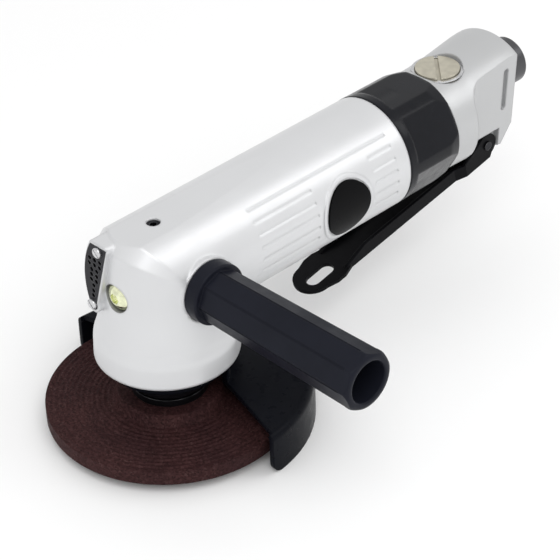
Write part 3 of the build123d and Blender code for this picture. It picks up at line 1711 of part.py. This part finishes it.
def grip_cut(turn, end, root_radius, end_radius, width):
    """Cut along the grip above a line that leans with its taper, in the part that calls it."""
    plane = Plane(origin=grip_plane.origin, x_dir=(0, -1, 0), z_dir=(-sin(turn), 0, cos(turn)))
    with BuildSketch(plane) as cut:
        with BuildLine():
            Polyline(
                (grip_ring_length, root_radius),
                (end, end_radius),
                (end, 2 * grip_end_radius),
                (grip_ring_length, 2 * grip_end_radius),
                close=True,
            )
        make_face()
    extrude(cut.sketch, amount=width / 2, both=True, mode=Mode.SUBTRACT)


with BuildPart() as side_handle:
    add(grip)
    # Flat sides, and a fine groove along each corner between them
    for index in range(grip_sides):
        corner_turn = 2 * pi * index / grip_sides
        grip_cut(
            corner_turn + pi / grip_sides,
            grip_length,
            grip_root_radius * flat_share,
            grip_end_radius * flat_share,
            2 * grip_end_radius,
        )
        grip_cut(
            corner_turn,
            groove_end,
            grip_root_radius - grip_groove_depth,
            groove_end_radius - grip_groove_depth,
            grip_groove_width,
        )
keep(side_handle.part, "side_handle")

handle_bolt_plane = Plane(
    origin=(handle_x, -boss_reach - grip_length + grip_bore_depth, motor_axis_z),
    x_dir=(1, 0, 0),
    z_dir=(0, 1, 0),
)
handle_bolt = hex_bolt(
    handle_bolt_plane,
    handle_bolt_radius,
    grip_length - grip_bore_depth + boss_thread_depth,
    handle_bolt_flats,
    handle_bolt_head,
)
keep(handle_bolt, "handle_bolt")
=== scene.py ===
import math

import bpy
from mathutils import Matrix, Vector


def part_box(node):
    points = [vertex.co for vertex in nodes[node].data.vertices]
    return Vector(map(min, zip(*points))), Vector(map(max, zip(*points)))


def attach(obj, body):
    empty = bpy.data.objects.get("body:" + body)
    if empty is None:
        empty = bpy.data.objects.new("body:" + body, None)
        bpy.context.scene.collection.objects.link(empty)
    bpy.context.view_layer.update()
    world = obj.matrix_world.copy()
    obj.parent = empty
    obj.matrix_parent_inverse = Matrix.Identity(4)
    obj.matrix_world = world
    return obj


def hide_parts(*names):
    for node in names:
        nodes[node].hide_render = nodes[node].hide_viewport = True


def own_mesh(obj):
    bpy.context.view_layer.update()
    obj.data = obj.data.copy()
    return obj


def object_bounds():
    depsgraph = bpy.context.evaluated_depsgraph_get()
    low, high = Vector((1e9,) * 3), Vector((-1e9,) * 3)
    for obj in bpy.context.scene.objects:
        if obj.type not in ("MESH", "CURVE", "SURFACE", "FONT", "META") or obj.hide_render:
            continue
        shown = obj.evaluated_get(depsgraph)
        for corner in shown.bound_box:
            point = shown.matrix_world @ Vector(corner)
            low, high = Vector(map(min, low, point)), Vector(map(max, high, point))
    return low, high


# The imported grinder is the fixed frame. Everything here is in metres, in that frame.
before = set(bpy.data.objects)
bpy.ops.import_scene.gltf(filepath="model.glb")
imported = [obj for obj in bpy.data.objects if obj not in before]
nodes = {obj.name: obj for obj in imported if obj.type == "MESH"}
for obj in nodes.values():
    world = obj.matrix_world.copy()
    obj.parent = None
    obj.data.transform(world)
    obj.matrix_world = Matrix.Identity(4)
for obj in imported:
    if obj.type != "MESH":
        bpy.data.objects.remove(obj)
cad_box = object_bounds()

# Camera, fitted to the photograph: degrees, and metres along its own axes
CAMERA_AZIMUTH = -43.18
CAMERA_ELEVATION = 35.23
CAMERA_ROLL = -2.17
CAMERA_RIGHT = 0.04323
CAMERA_UP = 0.04938
CAMERA_DISTANCE = 0.91113
CAMERA_DROP = 0.001
CAMERA_ANGLE = 14.0
CAMERA_CLIP = (0.05, 50.0)

# Patterns that the surfaces share
NOISE_ROUGHNESS = 0.55
CLOUD_START, CLOUD_END = 0.3, 0.7
GLOSS_FINENESS, GLOSS_DETAIL = 4, 5.0
GRAIN_DETAIL = 2.0
SMOOTHEST = 0.03
EDGE_SAMPLES = 6
EDGE_SHARP, EDGE_EVEN = 0.85, 0.99
WEAR_SCALE, WEAR_AMOUNT = 350.0, 0.5
# Painted shade in one bore: how much darker, how soft its rim, how much wider than the bolt's head
BORE_PAINTED_SHADE = 0.6
BORE_BLUR = 1.01
BORE_ROOM = 1.08

# Sockets of a colour mix, whose names aren't unique
MIX_FACTOR, MIX_A, MIX_B, MIX_RESULT = 0, 6, 7, 2

# Studio
TOOL_MIDDLE = Vector((0.07, -0.02, 0.05))
FLOOR_REACH = 8.0
SURROUND_START, SURROUND_END = -0.6, 0.8
LIGHT_DISTANCE = 1.2
WATTS_PER_RADIANCE = 4.0


def add_object(name, data):
    """New object in the scene."""
    made = bpy.data.objects.new(name, data)
    bpy.context.scene.collection.objects.link(made)
    return made


def set_inputs(node, values):
    """Plain values for some inputs of a shader node."""
    for key, value in values.items():
        node.inputs[key].default_value = value


def add_camera():
    """Camera at the photograph's place, with its roll."""
    azimuth = math.radians(CAMERA_AZIMUTH)
    elevation = math.radians(CAMERA_ELEVATION)
    roll = math.radians(CAMERA_ROLL)
    level = Vector((math.cos(azimuth), math.sin(azimuth), 0.0))
    away = Vector((math.sin(azimuth), -math.cos(azimuth), 0.0))
    back = math.cos(elevation) * away + Vector((0.0, 0.0, math.sin(elevation)))
    rise = back.cross(level)
    right = math.cos(roll) * level + math.sin(roll) * rise
    up = math.cos(roll) * rise - math.sin(roll) * level
    data = bpy.data.cameras.new("camera")
    data.sensor_fit = "AUTO"
    data.angle = math.radians(CAMERA_ANGLE)
    data.clip_start, data.clip_end = CAMERA_CLIP
    camera = add_object("camera", data)
    place = CAMERA_RIGHT * right + CAMERA_UP * up + CAMERA_DISTANCE * back
    place.z -= CAMERA_DROP
    turn = Matrix((right, up, back)).transposed().to_4x4()
    camera.matrix_world = Matrix.Translation(place) @ turn
    bpy.context.scene.camera = camera


# Materials
class Shade:
    """One procedural material, built node by node in object space."""

    def __init__(self, name):
        self.material = bpy.data.materials.new(name)
        self.material.use_nodes = True
        self.tree = self.material.node_tree
        self.bsdf = self.tree.nodes["Principled BSDF"]
        self.coords = self.node("ShaderNodeTexCoord").outputs["Object"]

    def node(self, kind, **settings):
        made = self.tree.nodes.new(kind)
        for key, value in settings.items():
            setattr(made, key, value)
        return made

    def link(self, output, socket):
        self.tree.links.new(output, socket)

    def noise(self, scale, detail=3.0):
        """Noise with features of about 1/scale metres."""
        made = self.node("ShaderNodeTexNoise")
        set_inputs(made, {"Scale": scale, "Detail": detail, "Roughness": NOISE_ROUGHNESS})
        self.link(self.coords, made.inputs["Vector"])
        return made.outputs["Fac"]

    def cells(self, scale):
        """Grains of about 1/scale metres."""
        made = self.node("ShaderNodeTexVoronoi")
        set_inputs(made, {"Scale": scale})
        self.link(self.coords, made.inputs["Vector"])
        return made

    def ramp(self, factor, stops):
        """Colour ramp from (position, colour) stops."""
        made = self.node("ShaderNodeValToRGB")
        points = made.color_ramp.elements
        points[0].position, points[0].color = stops[0][0], (*stops[0][1], 1.0)
        points[1].position, points[1].color = stops[-1][0], (*stops[-1][1], 1.0)
        for position, colour in stops[1:-1]:
            points.new(position).color = (*colour, 1.0)
        self.link(factor, made.inputs["Fac"])
        return made.outputs["Color"]

    def span(self, factor, low, high, start=CLOUD_START, end=CLOUD_END):
        """Carry a pattern's values between start and end over to low and high."""
        made = self.node("ShaderNodeMapRange")
        set_inputs(made, {"From Min": start, "From Max": end, "To Min": low, "To Max": high})
        self.link(factor, made.inputs["Value"])
        return made.outputs["Result"]

    def mix(self, factor, a, b):
        """Mix a colour pattern with one plain colour, by a pattern."""
        made = self.node("ShaderNodeMix", data_type="RGBA")
        self.link(factor, made.inputs[MIX_FACTOR])
        self.link(a, made.inputs[MIX_A])
        made.inputs[MIX_B].default_value = (*b, 1.0)
        return made.outputs[MIX_RESULT]

    def tinted(self, a, b):
        """Product of two colour patterns."""
        made = self.node("ShaderNodeMix", data_type="RGBA", blend_type="MULTIPLY")
        made.inputs[MIX_FACTOR].default_value = 1.0
        self.link(a, made.inputs[MIX_A])
        self.link(b, made.inputs[MIX_B])
        return made.outputs[MIX_RESULT]

    def product(self, a, b):
        """Product of two grey patterns."""
        made = self.node("ShaderNodeMath", operation="MULTIPLY")
        self.link(a, made.inputs[0])
        self.link(b, made.inputs[1])
        return made.outputs[0]

    def soft_edge(self, radius):
        """Normal that turns smoothly over sharp edges."""
        made = self.node("ShaderNodeBevel", samples=EDGE_SAMPLES)
        set_inputs(made, {"Radius": radius})
        self.link(made.outputs["Normal"], self.bsdf.inputs["Normal"])
        return made.outputs["Normal"]

    def edges(self, soft):
        """1 on sharp edges and 0 on even faces."""
        flat = self.node("ShaderNodeNewGeometry").outputs["Normal"]
        made = self.node("ShaderNodeVectorMath", operation="DOT_PRODUCT")
        self.link(flat, made.inputs[0])
        self.link(soft, made.inputs[1])
        return self.span(made.outputs["Value"], 1.0, 0.0, EDGE_SHARP, EDGE_EVEN)

    def within(self, centre, radius, along):
        """1 inside a round bore, from a point on its axis and a scale that flattens that axis."""
        mapping = self.node("ShaderNodeMapping")
        shift = [-c * a for c, a in zip(centre, along)]
        set_inputs(mapping, {"Scale": along, "Location": shift})
        self.link(self.coords, mapping.inputs["Vector"])
        made = self.node("ShaderNodeVectorMath", operation="LENGTH")
        self.link(mapping.outputs["Vector"], made.inputs[0])
        return self.span(made.outputs["Value"], 1.0, 0.0, radius, radius * BORE_BLUR)

    def bump(self, height, depth, strength=1.0):
        """Bump whose full height is depth metres, on top of any normal linked before."""
        made = self.node("ShaderNodeBump")
        set_inputs(made, {"Strength": strength, "Distance": depth})
        self.link(height, made.inputs["Height"])
        normal = self.bsdf.inputs["Normal"]
        if normal.is_linked:
            self.link(normal.links[0].from_socket, made.inputs["Normal"])
        self.link(made.outputs["Normal"], normal)


def shades(colour, spread):
    """A darker and a lighter neighbour of a colour."""
    dark = tuple(c * (1 - spread) for c in colour)
    light = tuple(min(1.0, c * (1 + spread)) for c in colour)
    return dark, light


def surface(
    name, colour, rough, *, spread, metal=0.0, patch=60.0, rough_spread=0.06, grain=2500.0,
    grain_depth=0.00002, specular=0.5, edge=0.0, worn=None, painted_bore_shade=None,
):
    """Cloudy colour, uneven gloss and a fine grain, with soft or worn edges and painted shade in
    one bore.
    """
    shade = Shade(name)
    dark, light = shades(colour, spread)
    tint = shade.ramp(shade.noise(patch), [(CLOUD_START, dark), (CLOUD_END, light)])
    if edge:
        soft = shade.soft_edge(edge)
        if worn:
            spots = shade.span(shade.noise(WEAR_SCALE), 0.0, WEAR_AMOUNT)
            tint = shade.mix(shade.product(shade.edges(soft), spots), tint, worn)
    # Painted shade: a darker colour inside the bore stands in for the shade in the recess
    if painted_bore_shade:
        tint = shade.mix(shade.within(*painted_bore_shade), tint, shades(colour, BORE_PAINTED_SHADE)[0])
    shade.link(tint, shade.bsdf.inputs["Base Color"])
    clouds = shade.noise(patch * GLOSS_FINENESS, GLOSS_DETAIL)
    gloss = shade.span(clouds, max(SMOOTHEST, rough - rough_spread), rough + rough_spread)
    shade.link(gloss, shade.bsdf.inputs["Roughness"])
    shade.bump(shade.noise(grain, GRAIN_DETAIL), grain_depth)
    set_inputs(shade.bsdf, {"Metallic": metal, "Specular IOR Level": specular})
    return shade.material


def abrasive_wheel():
    """Resin-bonded grit: dark red-brown with lighter grains."""
    shade = Shade("abrasive_wheel")
    shade.soft_edge(0.0007)
    grains = shade.cells(1500.0)
    speck = shade.ramp(grains.outputs["Color"], [
        (0.0, (0.018, 0.008, 0.008)), (0.45, (0.038, 0.016, 0.017)),
        (0.8, (0.055, 0.025, 0.026)), (1.0, (0.075, 0.042, 0.042)),
    ])
    cloud = shade.ramp(
        shade.noise(45.0), [(0.35, (0.75, 0.72, 0.72)), (0.65, (1.1, 1.05, 1.0))],
    )
    shade.link(shade.tinted(speck, cloud), shade.bsdf.inputs["Base Color"])
    gloss = shade.span(shade.noise(900.0), 0.5, 0.75)
    shade.link(gloss, shade.bsdf.inputs["Roughness"])
    shade.bump(grains.outputs["Distance"], depth=0.00010, strength=0.5)
    shade.bump(shade.noise(3500.0), depth=0.00005, strength=0.5)
    set_inputs(shade.bsdf, {"Specular IOR Level": 0.06})
    return shade.material


# Painted shade in the bore of the casting around the front bolt, a little wider than the bolt's
# head
bolt_low, bolt_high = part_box("front_bolt")
bolt_radius = (bolt_high.z - bolt_low.z) / 2
bolt_bore_painted_shade = ((bolt_low + bolt_high) / 2, BORE_ROOM * bolt_radius, (0.0, 1.0, 1.0))

MATERIALS = {
    # The body casting carries painted shade in the bore around the front bolt
    "casting": surface(
        "cast_body", (0.66, 0.665, 0.675), 0.34, metal=0.5, spread=0.015, patch=30.0,
        rough_spread=0.04, grain=2600.0, grain_depth=0.000003, edge=0.0015, painted_bore_shade=bolt_bore_painted_shade,
    ),
    # The rear casting is a darker copy of the body casting: painted shade for the dimmer light on
    # the rear of the tool
    "rear": surface(
        "rear_body_shaded", (0.50, 0.505, 0.51), 0.34, metal=0.45, spread=0.015, patch=30.0,
        rough_spread=0.04, grain=2600.0, grain_depth=0.000003, edge=0.001,
    ),
    "collar": surface(
        "black_collar", (0.004, 0.0045, 0.007), 0.22, spread=0.15, grain=2200.0,
        grain_depth=0.000004, specular=0.2, edge=0.0016,
    ),
    "sheet": surface(
        "black_sheet", (0.004, 0.004, 0.005), 0.34, spread=0.15, grain=1800.0,
        grain_depth=0.000008, specular=0.06, edge=0.0005, worn=(0.02, 0.02, 0.022),
    ),
    "guard": surface(
        "black_guard", (0.004, 0.0045, 0.007), 0.3, spread=0.15, grain=1800.0,
        grain_depth=0.000008, specular=0.05, edge=0.001,
    ),
    "grip": surface(
        "grip_plastic", (0.010, 0.011, 0.017), 0.34, spread=0.12, grain=1600.0,
        grain_depth=0.000006, specular=0.08, edge=0.0009,
    ),
    "disc": surface(
        "plain_disc", (0.003, 0.003, 0.0035), 0.32, spread=0.1, grain=3000.0,
        grain_depth=0.000004, specular=0.06, edge=0.0004,
    ),
    "wheel": abrasive_wheel(),
    "dark_steel": surface(
        "dark_steel", (0.022, 0.022, 0.026), 0.34, metal=0.9, spread=0.15,
        grain_depth=0.000008, edge=0.0004, worn=(0.3, 0.3, 0.3),
    ),
    "grey_steel": surface(
        "grey_steel", (0.09, 0.09, 0.095), 0.32, metal=0.9, spread=0.12,
        grain_depth=0.000008, edge=0.0006, worn=(0.35, 0.35, 0.35),
    ),
    "zinc": surface(
        "yellow_zinc", (0.80, 0.82, 0.58), 0.08, metal=1.0, spread=0.15, patch=500.0,
        grain=900.0, grain_depth=0.00003, edge=0.0003,
    ),
    "brass": surface(
        "dull_brass", (0.53, 0.50, 0.41), 0.36, metal=0.8, spread=0.1, patch=300.0,
        grain_depth=0.00001, edge=0.0004,
    ),
    "iron": surface("motor_iron", (0.22, 0.22, 0.23), 0.5, metal=0.8, spread=0.2, patch=200.0),
    "resin": surface("vane_resin", (0.30, 0.19, 0.10), 0.6, spread=0.2, patch=300.0),
    "rubber": surface("seal_rubber", (0.02, 0.02, 0.02), 0.7, spread=0.2, patch=300.0),
    "felt": surface(
        "felt", (0.03, 0.029, 0.028), 0.9, spread=0.3, patch=900.0, grain_depth=0.0002,
    ),
    "steel": surface(
        "bright_steel", (0.62, 0.62, 0.63), 0.26, metal=1.0, spread=0.08, patch=300.0, edge=0.0003,
    ),
}
# Nodes that aren't named here are bright steel
NODE_MATERIAL = {
    "motor_housing": "casting", "rear_handle": "rear", "coupling_nut": "collar",
    "throttle_lever": "sheet", "wheel_guard": "guard", "side_handle": "grip",
    "side_disc": "disc", "grinding_wheel": "wheel", "bearing_cap": "dark_steel",
    "wheel_flange": "dark_steel", "inlet_bushing": "grey_steel", "exhaust_grille": "dark_steel",
    "grease_plug": "dark_steel", "lever_pin": "dark_steel", "guard_clamp_screw": "dark_steel",
    "guard_clamp_nut": "dark_steel", "front_bolt": "zinc", "air_regulator": "brass",
    "plunger_bush": "brass", "inlet_strainer": "brass", "motor_cylinder": "iron",
    "front_end_plate": "iron", "rear_end_plate": "iron", "rotor_vanes": "resin",
    "motor_gasket": "rubber", "inlet_seal": "rubber", "regulator_seal": "rubber",
    "valve_washer": "rubber", "spindle_seal": "felt", "exhaust_muffler": "felt",
}
for name, piece in nodes.items():
    piece.data.materials.clear()
    piece.data.materials.append(MATERIALS[NODE_MATERIAL.get(name, "steel")])


def add_spring():
    """Copy of the valve spring on the housing's body, shown in place of the hidden original."""
    coil = add_object("valve_spring_coil", nodes["valve_spring"].data)
    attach(coil, "housing")
    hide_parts("valve_spring")
    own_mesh(coil)


# Studio: pale floor, two soft boxes and a white surround, dimmer behind and above the tool
def add_floor():
    """Floor under the tool's lowest point."""
    level = cad_box[0][2]
    signs = ((-1, -1), (1, -1), (1, 1), (-1, 1))
    corners = [(x * FLOOR_REACH, y * FLOOR_REACH, level) for x, y in signs]
    mesh = bpy.data.meshes.new("floor")
    mesh.from_pydata(corners, [], [(0, 1, 2, 3)])
    floor = add_object("floor", mesh)
    mesh.materials.append(
        surface("floor", (0.93, 0.93, 0.93), 0.8, spread=0.004, patch=3.0, specular=0.0)
    )


def add_light(name, direction, width, height, radiance):
    """Soft box that faces the middle of the tool."""
    data = bpy.data.lights.new(name, "AREA")
    data.shape = "RECTANGLE"
    data.size, data.size_y = width, height
    data.energy = radiance * WATTS_PER_RADIANCE * width * height
    light = add_object(name, data)
    way = Vector(direction).normalized()
    light.location = TOOL_MIDDLE + LIGHT_DISTANCE * way
    light.rotation_euler = way.to_track_quat("Z", "Y").to_euler()


def add_world(way, near, far):
    """White surround whose strength goes from near to far along one direction."""
    world = bpy.data.worlds.new("studio")
    world.use_nodes = True
    tree = world.node_tree
    background = tree.nodes["Background"]
    coords = tree.nodes.new("ShaderNodeTexCoord")
    along = tree.nodes.new("ShaderNodeVectorMath")
    along.operation = "DOT_PRODUCT"
    along.inputs[1].default_value = Vector(way).normalized()
    fade = tree.nodes.new("ShaderNodeMapRange")
    set_inputs(background, {"Color": (1.0, 1.0, 1.0, 1.0)})
    set_inputs(fade, {
        "From Min": SURROUND_START, "From Max": SURROUND_END, "To Min": near, "To Max": far,
    })
    tree.links.new(coords.outputs["Generated"], along.inputs[0])
    tree.links.new(along.outputs["Value"], fade.inputs["Value"])
    tree.links.new(fade.outputs["Result"], background.inputs["Strength"])
    bpy.context.scene.world = world


add_spring()
add_camera()
bpy.context.scene.view_settings.view_transform = "Standard"
add_world((0.56, 0.60, 0.57), near=1.02, far=0.84)
add_floor()
add_light("key", (-0.32, -0.50, 0.80), width=0.8, height=0.8, radiance=1.6)
add_light("band", (0.56, -0.46, 0.69), width=0.4, height=0.7, radiance=1.4)
